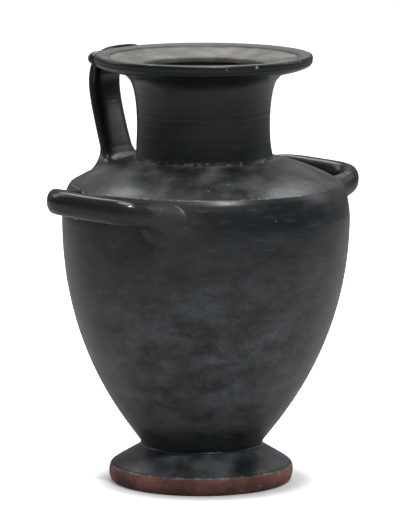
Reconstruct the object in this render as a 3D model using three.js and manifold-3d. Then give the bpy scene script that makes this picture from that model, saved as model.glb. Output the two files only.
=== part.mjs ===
// A black-gloss hydria: a thrown water jar with two side handles and one back handle.
// Millimetres, +Z up. The origin is under the centre of the foot, on the surface it stands on.
// The back handle is at +Y, the two side handles are at +X and -X.

import * as THREE from 'three';
import Module from 'manifold-3d';
import { mergeVertices } from 'three/addons/utils/BufferGeometryUtils.js';

// Clay
const SLIP_GAP = 0.3; // between two pieces that are luted together
const BODY_WALL = 6;
const BODY_FLOOR = 8;
const NECK_WALL = 6;
const FOOT_WALL = 10;

// Foot
const FOOT_RADIUS = 68.8;
const FOOT_HEIGHT = 27.5;
const FOOT_BAND_HEIGHT = 13; // the bare band round its edge
const FOOT_EDGE_ROUND = 4.1; // how far the edge bulges past the tread
const FOOT_TREAD = 9; // width of the ring that stands on the table
const FOOT_SEAT_WIDTH = 16; // width of the ring under the body
const FOOT_SLOPE_IN = 3; // the slope over the band leaves it this far in
const FOOT_SLOPE_UP = 3.2; // and this far up
const STEM_RADIUS = 44.6; // where foot and body meet
const STEM_FLARE_OUT = 6; // the slope comes to the stem from this far out
const STEM_FLARE_DOWN = 4.4; // and this far down
const JOIN_RING_RADIUS = 1.4; // the bead of clay in the corner over the foot

// Body
const BELLY_RADIUS = 106.8;
const BELLY_RISE = 170.5; // from the foot's top to the widest place
const BELLY_FULLNESS = 109; // how long the wall stays near its widest
const STEM_RISE = 6.5; // how long the wall stays upright over the foot
const SHOULDER_INSET = 6.4; // from the belly's radius in to the shoulder's edge
const SHOULDER_TURN = 25.7; // from the widest place up to the shoulder's edge
const SHOULDER_RISE = 18.8; // from the shoulder's edge up to the neck
const SHOULDER_CROWN = 2.4; // how far the shoulder swells over a straight slope

// Neck
const NECK_LENGTH = 59.5;
const NECK_FOOT_RADIUS = 51;
const NECK_WAIST_PULL = 3.4; // how strongly the neck draws in over its foot
const NECK_HEAD_RADIUS = 56.1;
const LAP_LENGTH = 6; // each lap goes this far inside its neighbour
const LAP_WALL = 2.7;

// Mouth
const LIP_RADIUS = 81;
const LIP_FACE_HEIGHT = 7.6; // the upright outer face of the lip
const LIP_FACE_TUCK = 1.6; // how far the face's foot lies in from its edge
const LIP_EDGE_ROUND = 2.2; // between the face and the top
const LIP_TOP_WIDTH = 11; // the flat ring on top, out to the edge
const LIP_TOP_FALL = 1.2; // how far that ring slopes in
const LIP_STEP = 1; // the small step inside the ring
const MOUTH_HEIGHT = 17;
const LIP_FLARE_OUT = 3.6; // the underside leaves the neck this far out
const LIP_FLARE_UP = 5.6; // and this far up
const LIP_UNDERCUT_IN = 8; // the underside comes to the face from this far in
const LIP_UNDERCUT_DOWN = 5; // and this far down
const THROAT_RADIUS = 46.8;
const FUNNEL_FALL = 4.8; // from the step down to the throat

// Side handles
const SIDE_HANDLE_REACH = 25.3; // centreline, past the belly
const SIDE_HANDLE_SPREAD = 42; // half the distance between the two arms
const SIDE_HANDLE_DROP = 4.6; // crown of the centreline, under the shoulder's edge
const SIDE_HANDLE_RISE = 7.5; // from its buried ends up to the crown
const SIDE_HANDLE_TILT = 2; // degrees, with the rear root higher than the front one
const SIDE_HANDLE_WIDTH = 13;
const SIDE_HANDLE_HEIGHT = 18.6;
const SIDE_HANDLE_TAPER = 2.4; // how much taller it is at its rear root than at its front one
const SIDE_HANDLE_SQUARENESS = 3.8; // of the bow: 2 is round, more is squarer
const SIDE_HANDLE_OVAL = 2.2; // of the section, by the same measure

// Back handle
const STRAP_ROOT_INSET = 14.4; // from the shoulder's edge in to where it stands
const STRAP_REACH = 17.8; // from the lip's edge out to the knee
const STRAP_KNEE_DROP = 27; // from the lip's top down to the knee
const STRAP_CREST_DROP = 3.4; // from the lip's top down to the centreline where it meets the lip
const STRAP_LAP = 3; // how far the strap's end laps over the lip
const STRAP_THICKNESS = 9.7;
const STRAP_WIDTH = 29.6;
const STRAP_SQUARENESS = 3.2; // of its section
const STRAP_ROOT_SPREAD = 4; // extra width at the root
const STRAP_HEAD_SPREAD = 3; // extra width under the lip
const KNOB_RADIUS = 5.1; // the round end on each side of the strap's head
const KNOB_LENGTH = 14.5;
const KNOB_OUT = 4.6; // from the lip's edge out to the knobs' axis
const KNOB_DROP = 7.3; // from the lip's top down to the knobs' axis

// Clay smeared round the roots of the handles
const BEDDING = 6.5; // the handles' centrelines start this deep in the wall
const ROOT_LENGTH = 9; // along the handle, outside the wall
const ROOT_EDGE = 1.3; // past the handle, at the collar's far end
const FRONT_ROOT_FLARE = 9; // past the handle, at the buried end
const FRONT_ROOT_SAG = 6; // how far the clay is dragged down the belly there
const REAR_ROOT_FLARE = 3.5;
const STRAP_ROOT_FLARE = 9;

// Lean: the jar was put together by hand, so foot and lip sit a little to one side of the belly
const LEAN_DIRECTION = -49; // degrees round from +X, of the belly against foot and lip
const FOOT_OFFSET = 3.9;
const LIP_OFFSET = 1.9;

// Roundness of the model
const TURN_STEPS = 36;
const SECTION_STEPS = 12;
const WELD_DISTANCE = 1e-4;

// Heights of the joints
const BODY_BASE_Z = FOOT_HEIGHT;
const BELLY_Z = BODY_BASE_Z + BELLY_RISE;
const SHOULDER_Z = BELLY_Z + SHOULDER_TURN;
const NECK_FOOT_Z = SHOULDER_Z + SHOULDER_RISE;
const NECK_HEAD_Z = NECK_FOOT_Z + NECK_LENGTH;
const TOP_Z = NECK_HEAD_Z + MOUTH_HEIGHT;

// Radii that neighbours share
const SHOULDER_RADIUS = BELLY_RADIUS - SHOULDER_INSET;
const NECK_BORE = NECK_FOOT_RADIUS - NECK_WALL;
const LAP_RADIUS = NECK_BORE + LAP_WALL;
const STRAP_ROOT_RADIUS = SHOULDER_RADIUS - STRAP_ROOT_INSET;

const wasm = await Module();
wasm.setup();

// Outlines, as points of radius and height

function at(radius, height) {
  return new THREE.Vector2(radius, height);
}

function bend(from, pullFrom, pullTo, to, steps) {
  return new THREE.CubicBezierCurve(from, pullFrom, pullTo, to).getPoints(steps);
}

// Moves an outline that climbs the outside of a wall: in by a positive distance, out by a negative one.
function offsetOutline(points, distance) {
  return points.map((point, i) => {
    const before = points[Math.max(i - 1, 0)];
    const after = points[Math.min(i + 1, points.length - 1)];
    const along = after.clone().sub(before).normalize();
    return at(point.x - along.y * distance, point.y + along.x * distance);
  });
}

function revolve(outline) {
  const geometry = new THREE.LatheGeometry(outline, TURN_STEPS);
  geometry.rotateX(Math.PI / 2);
  return geometry;
}

// A full solid of revolution, one slip gap larger than the outline of a wall.
function clearanceOf(outline) {
  const grown = offsetOutline(outline, -SLIP_GAP);
  const first = grown[0];
  const last = grown[grown.length - 1];
  return revolve([at(0, first.y), ...grown, at(0, last.y)]);
}

// Joining and cutting

function toSolid(geometry) {
  const bare = new THREE.BufferGeometry();
  bare.setAttribute('position', geometry.getAttribute('position').clone());
  bare.setIndex(geometry.getIndex().clone());
  const welded = mergeVertices(bare, WELD_DISTANCE);
  const index = welded.getIndex().array;
  const triangles = [];
  for (let i = 0; i < index.length; i += 3) {
    const [a, b, c] = [index[i], index[i + 1], index[i + 2]];
    if (a !== b && b !== c && c !== a) triangles.push(a, b, c);
  }
  return new wasm.Manifold(new wasm.Mesh({
    numProp: 3,
    vertProperties: new Float32Array(welded.getAttribute('position').array),
    triVerts: new Uint32Array(triangles),
  }));
}

function toGeometry(solid) {
  const mesh = solid.getMesh();
  const geometry = new THREE.BufferGeometry();
  geometry.setAttribute('position', new THREE.BufferAttribute(mesh.vertProperties.slice(), 3));
  geometry.setIndex(new THREE.BufferAttribute(mesh.triVerts.slice(), 1));
  geometry.computeVertexNormals();
  return geometry;
}

function cut(geometry, cutters) {
  let solid = toSolid(geometry);
  for (const cutter of cutters) solid = solid.subtract(toSolid(cutter));
  return toGeometry(solid);
}

// Closed skin over a row of rings, each ring one loop of points.
function loft(rings) {
  const count = rings[0].length;
  const points = rings.flat();
  const triangles = [];
  for (let ring = 0; ring + 1 < rings.length; ring += 1) {
    for (let i = 0; i < count; i += 1) {
      const a = ring * count + i;
      const b = ring * count + ((i + 1) % count);
      triangles.push(a, b, b + count, a, b + count, a + count);
    }
  }
  const lastRing = (rings.length - 1) * count;
  for (let i = 1; i + 1 < count; i += 1) {
    triangles.push(0, i + 1, i);
    triangles.push(lastRing, lastRing + i, lastRing + i + 1);
  }
  const geometry = new THREE.BufferGeometry().setFromPoints(points);
  geometry.setIndex(triangles);
  return geometry;
}

// A bar drawn along a curve. The reference direction and the curve's own direction set its width;
// its height is square to both. halfSizes(share) gives half the width, half the height and the sag there.
function drawn(curve, reference, squareness, from, to, steps, halfSizes) {
  const rings = [];
  for (let step = 0; step <= steps; step += 1) {
    const share = from + ((to - from) * step) / steps;
    const centre = curve.getPointAt(share);
    const along = curve.getTangentAt(share);
    const wide = reference.clone().cross(along).normalize();
    const tall = along.clone().cross(wide);
    const [halfWidth, halfHeight, sag = 0] = halfSizes(share);
    centre.addScaledVector(tall, -sag);
    const ring = [];
    for (let i = 0; i < SECTION_STEPS; i += 1) {
      const turn = (2 * Math.PI * i) / SECTION_STEPS;
      const x = halfWidth * power(Math.cos(turn), 2 / squareness);
      const y = halfHeight * power(Math.sin(turn), 2 / squareness);
      ring.push(centre.clone().addScaledVector(wide, x).addScaledVector(tall, y));
    }
    rings.push(ring);
  }
  return loft(rings);
}

// A power that keeps the sign of its base.
function power(value, exponent) {
  return Math.sign(value) * Math.abs(value) ** exponent;
}

// Foot: a hollow ring foot with a bare band round its edge

function footOutside() {
  const tread = at(FOOT_RADIUS - FOOT_EDGE_ROUND, 0);
  const bandTop = at(FOOT_RADIUS - FOOT_EDGE_ROUND / 3, FOOT_BAND_HEIGHT);
  const stem = at(STEM_RADIUS, BODY_BASE_Z - SLIP_GAP);
  const band = bend(
    tread,
    at(FOOT_RADIUS, 0),
    at(FOOT_RADIUS + FOOT_EDGE_ROUND / 5, FOOT_BAND_HEIGHT * 0.8),
    bandTop,
    5,
  );
  const slope = bend(
    bandTop,
    at(bandTop.x - FOOT_SLOPE_IN, bandTop.y + FOOT_SLOPE_UP),
    at(stem.x + STEM_FLARE_OUT, stem.y - STEM_FLARE_DOWN),
    stem,
    4,
  );
  return [...band, ...slope.slice(1)];
}

function footGeometry() {
  const outside = footOutside();
  const treadInner = at(FOOT_RADIUS - FOOT_EDGE_ROUND - FOOT_TREAD, 0);
  const seatInner = at(STEM_RADIUS - FOOT_SEAT_WIDTH, BODY_BASE_Z - SLIP_GAP);
  const hollowTop = at(seatInner.x, BODY_BASE_Z - FOOT_WALL);
  const hollow = bend(
    hollowTop,
    at(seatInner.x + FOOT_SEAT_WIDTH / 2, hollowTop.y),
    at(treadInner.x - FOOT_TREAD / 2, FOOT_WALL),
    treadInner,
    4,
  );
  return revolve([...outside, seatInner, ...hollow, outside[0]]);
}

function joinRingGeometry() {
  const ring = new THREE.TorusGeometry(STEM_RADIUS + JOIN_RING_RADIUS, JOIN_RING_RADIUS, 8, TURN_STEPS);
  ring.translate(0, 0, BODY_BASE_Z + SLIP_GAP);
  return cut(ring, [clearanceOf(bodyOutside()), clearanceOf(footOutside())]);
}

// Body: belly and shoulder, thrown as one, with its floor

function bodyOutside() {
  const base = at(STEM_RADIUS, BODY_BASE_Z);
  const widest = at(BELLY_RADIUS, BELLY_Z);
  const edge = at(SHOULDER_RADIUS, SHOULDER_Z);
  const neckFoot = at(NECK_FOOT_RADIUS, NECK_FOOT_Z);
  const belly = bend(
    base,
    at(STEM_RADIUS, BODY_BASE_Z + STEM_RISE),
    at(BELLY_RADIUS, BELLY_Z - BELLY_FULLNESS),
    widest,
    11,
  );
  const turn = bend(
    widest,
    at(BELLY_RADIUS, BELLY_Z + SHOULDER_TURN * 0.2),
    at(BELLY_RADIUS - SHOULDER_INSET * 0.3, SHOULDER_Z - SHOULDER_TURN * 0.17),
    edge,
    4,
  );
  const swell = at(0, SHOULDER_CROWN * 1.35);
  const shoulder = bend(
    edge,
    edge.clone().lerp(neckFoot, 0.33).add(swell),
    edge.clone().lerp(neckFoot, 0.67).add(swell),
    neckFoot,
    4,
  );
  return [...belly, ...turn.slice(1), ...shoulder.slice(1)];
}

function bodyGeometry() {
  const outside = bodyOutside();
  const mouthRadius = LAP_RADIUS + SLIP_GAP;
  const floorZ = BODY_BASE_Z + BODY_FLOOR;
  const inside = offsetOutline(outside, BODY_WALL).reverse();
  const wallInside = inside.filter((point) => point.x > mouthRadius || point.y < SHOULDER_Z);
  const cavity = wallInside.filter((point) => point.y > floorZ);
  return revolve([
    at(0, BODY_BASE_Z),
    ...outside,
    at(mouthRadius, NECK_FOOT_Z),
    at(mouthRadius, cavity[0].y),
    ...cavity,
    at(cavity[cavity.length - 1].x, floorZ),
    at(0, floorZ),
  ]);
}

// Neck: a concave tube that laps inside the body below and inside the mouth above

function neckOutside() {
  const foot = at(NECK_FOOT_RADIUS, NECK_FOOT_Z + SLIP_GAP);
  const head = at(NECK_HEAD_RADIUS, NECK_HEAD_Z);
  return bend(
    foot,
    at(NECK_FOOT_RADIUS - NECK_WAIST_PULL, NECK_FOOT_Z + NECK_LENGTH * 0.37),
    at(NECK_FOOT_RADIUS - NECK_WAIST_PULL / 2, NECK_HEAD_Z - NECK_LENGTH * 0.08),
    head,
    9,
  );
}

function neckBore() {
  const top = NECK_HEAD_Z + LAP_LENGTH;
  const bottom = NECK_FOOT_Z - LAP_LENGTH;
  const waist = NECK_BORE - NECK_WAIST_PULL / 2;
  return bend(at(NECK_BORE, top), at(waist, top - NECK_LENGTH / 3), at(waist, bottom + NECK_LENGTH / 3),
    at(NECK_BORE, bottom), 5);
}

function neckGeometry() {
  const outside = neckOutside();
  const lapBottom = NECK_FOOT_Z - LAP_LENGTH;
  const lapTop = NECK_HEAD_Z + LAP_LENGTH;
  return revolve([
    at(LAP_RADIUS, lapBottom),
    at(LAP_RADIUS, NECK_FOOT_Z + SLIP_GAP),
    ...outside,
    at(LAP_RADIUS, NECK_HEAD_Z),
    at(LAP_RADIUS, lapTop),
    ...neckBore(),
    at(LAP_RADIUS, lapBottom),
  ]);
}

// Mouth: a flat overhanging lip, and a shallow funnel down to the throat

function mouthOutside() {
  const seat = at(NECK_HEAD_RADIUS, NECK_HEAD_Z + SLIP_GAP);
  const faceFoot = at(LIP_RADIUS - LIP_FACE_TUCK, TOP_Z - LIP_FACE_HEIGHT);
  const underside = bend(
    seat,
    at(seat.x + LIP_FLARE_OUT, seat.y + LIP_FLARE_UP),
    at(faceFoot.x - LIP_UNDERCUT_IN, faceFoot.y - LIP_UNDERCUT_DOWN),
    faceFoot,
    6,
  );
  const face = bend(
    faceFoot,
    at(LIP_RADIUS, TOP_Z - LIP_FACE_HEIGHT * 0.6),
    at(LIP_RADIUS + LIP_FACE_TUCK / 5, TOP_Z - LIP_FACE_HEIGHT * 0.2),
    at(LIP_RADIUS - LIP_EDGE_ROUND / 2, TOP_Z - LIP_EDGE_ROUND / 5),
    4,
  );
  return [...underside, ...face.slice(1), at(LIP_RADIUS - LIP_EDGE_ROUND, TOP_Z)];
}

function mouthGeometry() {
  const outside = mouthOutside();
  const ringInner = at(LIP_RADIUS - LIP_TOP_WIDTH, TOP_Z - LIP_TOP_FALL);
  const step = at(ringInner.x - LIP_STEP, ringInner.y - LIP_STEP);
  const throat = at(THROAT_RADIUS, step.y - FUNNEL_FALL);
  const socketRadius = LAP_RADIUS + SLIP_GAP;
  const socketTop = NECK_HEAD_Z + LAP_LENGTH + SLIP_GAP;
  const boreTop = at(NECK_BORE, socketTop);
  const throatRound = bend(throat, throat.clone().lerp(at(NECK_BORE, throat.y), 0.6),
    at(NECK_BORE, throat.y), boreTop, 3);
  return revolve([
    ...outside,
    ringInner,
    step,
    ...throatRound,
    at(socketRadius, socketTop),
    at(socketRadius, NECK_HEAD_Z + SLIP_GAP),
    outside[0],
  ]);
}

// Side handles: oval bows, luted to the belly under the shoulder. A side is 1 for +X and -1 for -X.

function sideHandleCurve(side) {
  const start = Math.sqrt(BELLY_RADIUS ** 2 - SIDE_HANDLE_SPREAD ** 2) - BEDDING;
  const reach = BELLY_RADIUS + SIDE_HANDLE_REACH;
  const crownZ = SHOULDER_Z - SIDE_HANDLE_DROP;
  const tilt = Math.tan(THREE.MathUtils.degToRad(SIDE_HANDLE_TILT));
  const points = [];
  for (let degrees = -90; degrees <= 90; degrees += 7.5) {
    const turn = THREE.MathUtils.degToRad(degrees);
    const outward = power(Math.max(Math.cos(turn), 0), 2 / SIDE_HANDLE_SQUARENESS);
    const y = SIDE_HANDLE_SPREAD * power(Math.sin(turn), 2 / SIDE_HANDLE_SQUARENESS);
    const fall = SIDE_HANDLE_RISE * (1 - outward) ** 1.2;
    points.push(new THREE.Vector3(side * (start + (reach - start) * outward), y, crownZ - fall + y * tilt));
  }
  return new THREE.CatmullRomCurve3(points);
}

// Half the width and half the height, from the front root (0) to the rear one (1).
function sideHandleHalves(share, grow) {
  const height = SIDE_HANDLE_HEIGHT + SIDE_HANDLE_TAPER * (share - 0.5);
  return [SIDE_HANDLE_WIDTH / 2 + grow, height / 2 + grow];
}

function sideHandleBar(side, grow) {
  const halves = (share) => sideHandleHalves(share, grow);
  return drawn(sideHandleCurve(side), new THREE.Vector3(0, 0, 1), SIDE_HANDLE_OVAL, 0, 1, 24, halves);
}

function sideHandleGeometry(side) {
  return cut(sideHandleBar(side, 0), [clearanceOf(bodyOutside())]);
}

// The collar of smeared clay at one end of a side handle. The curve starts at the front root.
function sideRootGeometry(side, isFront) {
  const curve = sideHandleCurve(side);
  const length = (BEDDING + ROOT_LENGTH) / curve.getLength();
  const [from, to] = isFront ? [0, length] : [1 - length, 1];
  const full = isFront ? FRONT_ROOT_FLARE : REAR_ROOT_FLARE;
  const fullSag = isFront ? FRONT_ROOT_SAG : 0;
  const collar = drawn(curve, new THREE.Vector3(0, 0, 1), SIDE_HANDLE_OVAL, from, to, 6, (share) => {
    const outward = (isFront ? share : 1 - share) / length;
    const halves = sideHandleHalves(share, rootFlare(outward, full));
    return [...halves, fullSag * (1 - outward) ** 2];
  });
  return cut(collar, [clearanceOf(bodyOutside()), sideHandleBar(side, SLIP_GAP)]);
}

// How far a collar stands past its handle, from the buried end (0) to its far end (1).
function rootFlare(share, full) {
  return ROOT_EDGE + (full - ROOT_EDGE) * (1 - share) ** 2;
}

// Back handle: a strap from the shoulder up to the lip, with a knob on each side of its head

function strapCurve() {
  const shoulderSlope = SHOULDER_RISE / (SHOULDER_RADIUS - NECK_FOOT_RADIUS);
  const standZ = SHOULDER_Z + (SHOULDER_RADIUS - STRAP_ROOT_RADIUS) * shoulderSlope;
  const root = new THREE.Vector3(0, STRAP_ROOT_RADIUS, standZ - BEDDING);
  const knee = new THREE.Vector3(0, LIP_RADIUS + STRAP_REACH, TOP_Z - STRAP_KNEE_DROP);
  const head = new THREE.Vector3(0, LIP_RADIUS - STRAP_LAP, TOP_Z - STRAP_CREST_DROP);
  const climb = knee.z - root.z;
  const bow = head.z - knee.z;
  const lower = new THREE.CubicBezierCurve3(
    root,
    new THREE.Vector3(0, root.y, root.z + climb * 0.35),
    new THREE.Vector3(0, knee.y, knee.z - climb * 0.3),
    knee,
  );
  const upper = new THREE.CubicBezierCurve3(
    knee,
    new THREE.Vector3(0, knee.y, knee.z + bow * 0.45),
    new THREE.Vector3(0, knee.y - STRAP_REACH * 0.3, head.z),
    head,
  );
  return new THREE.CatmullRomCurve3([...lower.getPoints(10), ...upper.getPoints(6).slice(1)]);
}

// The strap is widest at its root, waisted in the middle and a little wider under the lip.
function strapHalfWidth(share) {
  return (STRAP_WIDTH + STRAP_ROOT_SPREAD * (1 - share) ** 6 + STRAP_HEAD_SPREAD * share ** 4) / 2;
}

function strapBar(grow) {
  return drawn(strapCurve(), new THREE.Vector3(1, 0, 0), STRAP_SQUARENESS, 0, 1, 20, (share) => [
    STRAP_THICKNESS / 2 + grow,
    strapHalfWidth(share) + grow,
  ]);
}

function strapGeometry() {
  return cut(strapBar(0), [clearanceOf(bodyOutside()), clearanceOf(mouthOutside())]);
}

function strapRootGeometry() {
  const curve = strapCurve();
  const length = (BEDDING + ROOT_LENGTH) / curve.getLength();
  const collar = drawn(curve, new THREE.Vector3(1, 0, 0), STRAP_SQUARENESS, 0, length, 6, (share) => {
    const flare = rootFlare(share / length, STRAP_ROOT_FLARE);
    return [STRAP_THICKNESS / 2 + flare, strapHalfWidth(share) + flare];
  });
  return cut(collar, [clearanceOf(bodyOutside()), clearanceOf(neckOutside()), strapBar(SLIP_GAP)]);
}

// A short round bar that stands square on the strap's edge, with a domed end.
function knobGeometry(side) {
  const dome = bend(
    at(KNOB_RADIUS, KNOB_LENGTH * 0.8),
    at(KNOB_RADIUS, KNOB_LENGTH * 0.95),
    at(KNOB_RADIUS * 0.7, KNOB_LENGTH),
    at(0, KNOB_LENGTH),
    4,
  );
  const knob = new THREE.LatheGeometry([at(0, 0), at(KNOB_RADIUS, 0), ...dome], SECTION_STEPS);
  knob.rotateZ((-side * Math.PI) / 2);
  const edge = strapHalfWidth(1) + SLIP_GAP;
  knob.translate(side * edge, LIP_RADIUS + KNOB_OUT, TOP_Z - KNOB_DROP);
  return cut(knob, [clearanceOf(mouthOutside()), strapBar(SLIP_GAP)]);
}

// Lean

// How far the jar's axis is off the belly's at a height, along the lean's direction.
function leanAt(z) {
  const below = Math.max(1 - z / BELLY_Z, 0);
  const above = THREE.MathUtils.smoothstep(z, SHOULDER_Z, NECK_FOOT_Z + NECK_LENGTH / 4);
  return -FOOT_OFFSET * below ** 1.4 - LIP_OFFSET * above;
}

function leaned(geometry) {
  const turn = THREE.MathUtils.degToRad(LEAN_DIRECTION);
  const position = geometry.getAttribute('position');
  for (let i = 0; i < position.count; i += 1) {
    const shift = leanAt(position.getZ(i));
    position.setX(i, position.getX(i) + shift * Math.cos(turn));
    position.setY(i, position.getY(i) + shift * Math.sin(turn));
  }
  return geometry;
}

// Finishes

const blackGloss = new THREE.MeshStandardMaterial({ color: 0x1b1f23, roughness: 0.32, metalness: 0.1 });
const brownGloss = new THREE.MeshStandardMaterial({ color: 0x2b2724, roughness: 0.38, metalness: 0.05 });
const bareClay = new THREE.MeshStandardMaterial({ color: 0x7a5449, roughness: 0.75, metalness: 0 });

function piece(name, geometry, material) {
  const mesh = new THREE.Mesh(leaned(geometry), material);
  mesh.name = name;
  return mesh;
}

function sideHandle(name, side) {
  const group = new THREE.Group();
  group.add(
    piece(`${name}_handle`, sideHandleGeometry(side), brownGloss),
    piece(`${name}_handle_front_root`, sideRootGeometry(side, true), brownGloss),
    piece(`${name}_handle_rear_root`, sideRootGeometry(side, false), brownGloss),
  );
  return group;
}

function backHandle() {
  const group = new THREE.Group();
  group.add(
    piece('back_handle', strapGeometry(), brownGloss),
    piece('back_handle_root', strapRootGeometry(), brownGloss),
    piece('back_handle_left_knob', knobGeometry(-1), brownGloss),
    piece('back_handle_right_knob', knobGeometry(1), brownGloss),
  );
  return group;
}

const hydria = new THREE.Group();
hydria.add(
  piece('foot', footGeometry(), bareClay),
  piece('foot_join_ring', joinRingGeometry(), blackGloss),
  piece('body', bodyGeometry(), blackGloss),
  piece('neck', neckGeometry(), blackGloss),
  piece('mouth', mouthGeometry(), blackGloss),
  sideHandle('left', -1),
  sideHandle('right', 1),
  backHandle(),
);

export default hydria;
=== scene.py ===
# %% [markdown]
# A black-gloss hydria, the three-handled water jar of a Greek household.
# The solid model already says where every piece is. This lesson raises the fine surface of each piece
# round it, then gives the clay, the black slip and the wear their look.

# %% Load the frame
import math

import bmesh
import bpy
from mathutils import Matrix, Vector


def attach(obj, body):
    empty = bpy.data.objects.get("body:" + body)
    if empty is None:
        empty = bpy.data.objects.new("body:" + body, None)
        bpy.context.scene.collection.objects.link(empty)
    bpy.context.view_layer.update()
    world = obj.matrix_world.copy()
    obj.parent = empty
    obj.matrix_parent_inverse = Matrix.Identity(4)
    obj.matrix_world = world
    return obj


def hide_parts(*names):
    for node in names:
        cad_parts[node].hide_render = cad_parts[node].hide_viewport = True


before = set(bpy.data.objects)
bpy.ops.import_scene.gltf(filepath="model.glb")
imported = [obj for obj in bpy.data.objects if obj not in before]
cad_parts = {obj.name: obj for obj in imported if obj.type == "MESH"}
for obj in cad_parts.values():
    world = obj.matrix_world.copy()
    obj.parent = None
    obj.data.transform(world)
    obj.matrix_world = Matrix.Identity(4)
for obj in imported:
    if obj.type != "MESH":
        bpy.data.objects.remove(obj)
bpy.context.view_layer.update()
MM = 0.001

# %% [markdown]
# The camera comes first. The photograph was taken from far away with a long lens, a little above the
# jar, with the back handle turned to the left. A long lens keeps the rings of lip and foot flat.

# %% Camera
PHOTO_HEIGHT_PX = 526
FOCAL_PX = 4500
CAMERA_AZIMUTH = math.radians(-49)
CAMERA_FALL = math.radians(8.9)
CAMERA_DISTANCE = 3341 * MM
CAMERA_TARGET = Vector((-2.92, 3.36, 163)) * MM
SENSOR_HEIGHT = 36

to_camera = Vector((
    math.sin(CAMERA_AZIMUTH) * math.cos(CAMERA_FALL),
    -math.cos(CAMERA_AZIMUTH) * math.cos(CAMERA_FALL),
    math.sin(CAMERA_FALL),
))
bpy.ops.object.camera_add(location=CAMERA_TARGET + to_camera * CAMERA_DISTANCE)
camera = bpy.context.object
camera.rotation_euler = to_camera.to_track_quat("Z", "Y").to_euler()
camera.data.sensor_fit = "VERTICAL"
camera.data.sensor_height = SENSOR_HEIGHT
camera.data.lens = FOCAL_PX / PHOTO_HEIGHT_PX * SENSOR_HEIGHT
bpy.context.scene.camera = camera
print("lens:", round(camera.data.lens), "mm")

# %% [markdown]
# All sizes of the jar are written here once, in millimetres, as on a potter's drawing. Heights are
# measured from the table up, and radii from the jar's axis.

# %% Sizes
FOOT_RADIUS = 68.8
FOOT_HEIGHT = 27.5
FOOT_BAND_HEIGHT = 13
FOOT_EDGE_ROUND = 4.1
FOOT_TREAD = 9
FOOT_WALL = 10
STEM_RADIUS = 44.6
FOOT_SEAT_RADIUS = 28.6
JOIN_BEAD = 1.3
BELLY_RADIUS = 106.8
BELLY_Z = 198
SHOULDER_RADIUS = 100.4
SHOULDER_Z = 223.7
SHOULDER_SWELL = 3.24
BODY_WALL = 6
BODY_FLOOR = 8
NECK_FOOT_RADIUS = 51
NECK_FOOT_Z = 242.5
NECK_HEAD_RADIUS = 56.1
NECK_HEAD_Z = 302
NECK_BORE = 45
NECK_SOCKET = 48
LIP_RADIUS = 81
LIP_FACE_HEIGHT = 7.6
TOP_Z = 319
THROAT_RADIUS = 46.8

# %% [markdown]
# The real jar is a little out of true: foot and lip sit to one side of the belly. One function gives
# the shift at each height, and every piece is made with it, so that they still meet.

# %% Lean
LEAN_DIRECTION = math.radians(-49)
FOOT_OFFSET = 3.9
LIP_OFFSET = 1.9


def lean_at(z):
    """How far the axis stands off the belly's at a height, as X and Y in millimetres."""
    below = max(1 - z / BELLY_Z, 0)
    share = (z - SHOULDER_Z) / (NECK_FOOT_Z + (NECK_HEAD_Z - NECK_FOOT_Z) / 4 - SHOULDER_Z)
    share = min(max(share, 0), 1)
    shift = -FOOT_OFFSET * below ** 1.4 - LIP_OFFSET * share * share * (3 - 2 * share)
    return shift * math.cos(LEAN_DIRECTION), shift * math.sin(LEAN_DIRECTION)


def leaned(point):
    """A point in millimetres, moved by the lean and turned into metres."""
    dx, dy = lean_at(point.z)
    return Vector((point.x + dx, point.y + dy, point.z)) * MM


print("the foot stands off by", [round(v, 2) for v in lean_at(0)], "mm")

# %% [markdown]
# A potter raises a wall from a ring of clay. The same is done here: a circle is added, and its ring is
# extruded again and again, each time carried to the next place, wider, narrower, higher or turned.
# A place is a matrix, so the same few lines make a jar's wall and a bent handle.

# %% Raising a wall
ROUND_STEPS = 144
SMOOTH_ANGLE = math.radians(38)


def power(value, exponent):
    """A power that keeps the sign of its base."""
    return math.copysign(abs(value) ** exponent, value)


def place(centre, wide, tall):
    """Carries a unit circle to a ring with these two half axes."""
    along = wide.cross(tall).normalized()
    return Matrix((
        (wide.x, tall.x, along.x, centre.x),
        (wide.y, tall.y, along.y, centre.y),
        (wide.z, tall.z, along.z, centre.z),
        (0, 0, 0, 1),
    ))


def carry_selected(piece, move):
    """Moves the selected points of the piece that is being edited."""
    mesh = bmesh.from_edit_mesh(piece.data)
    for vert in mesh.verts:
        if vert.select:
            vert.co = move(vert.co)
    bmesh.update_edit_mesh(piece.data)


def raise_wall(name, places, steps, squareness=2, joined=False, press=None):
    """Raises a closed wall through the places. A joined one ends where it started."""
    bpy.ops.object.select_all(action="DESELECT")
    bpy.ops.mesh.primitive_circle_add(vertices=steps, radius=1, location=(0, 0, 0))
    piece = bpy.context.object
    piece.name = name
    piece.data.name = name
    bpy.ops.object.mode_set(mode="EDIT")
    bpy.ops.mesh.select_all(action="SELECT")
    bent = 2 / squareness
    carry_selected(piece, lambda p: places[0] @ Vector((power(p.x, bent), power(p.y, bent), 0)))
    for before, after in zip(places, places[1:]):
        bpy.ops.mesh.extrude_region_move()
        step = after @ before.inverted()
        carry_selected(piece, lambda p, step=step: step @ p)
    bpy.ops.mesh.select_all(action="SELECT")
    if press:
        carry_selected(piece, press)
    if joined:
        bpy.ops.mesh.remove_doubles(threshold=0.01 * MM)
    else:
        bpy.ops.mesh.fill_holes(sides=0)
    bpy.ops.mesh.select_all(action="SELECT")
    bpy.ops.mesh.normals_make_consistent(inside=False)
    bpy.ops.object.mode_set(mode="OBJECT")
    bpy.ops.object.shade_smooth_by_angle(angle=SMOOTH_ANGLE)
    print(f"{name}: {len(places)} rings, {len(piece.data.polygons)} faces")
    return piece


# %% [markdown]
# The thrown pieces need an outline of radius and height. Round stretches are curves with two pulls,
# as in a drawing program, and an edge that hands have worn gets a small round instead of a corner.

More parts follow.
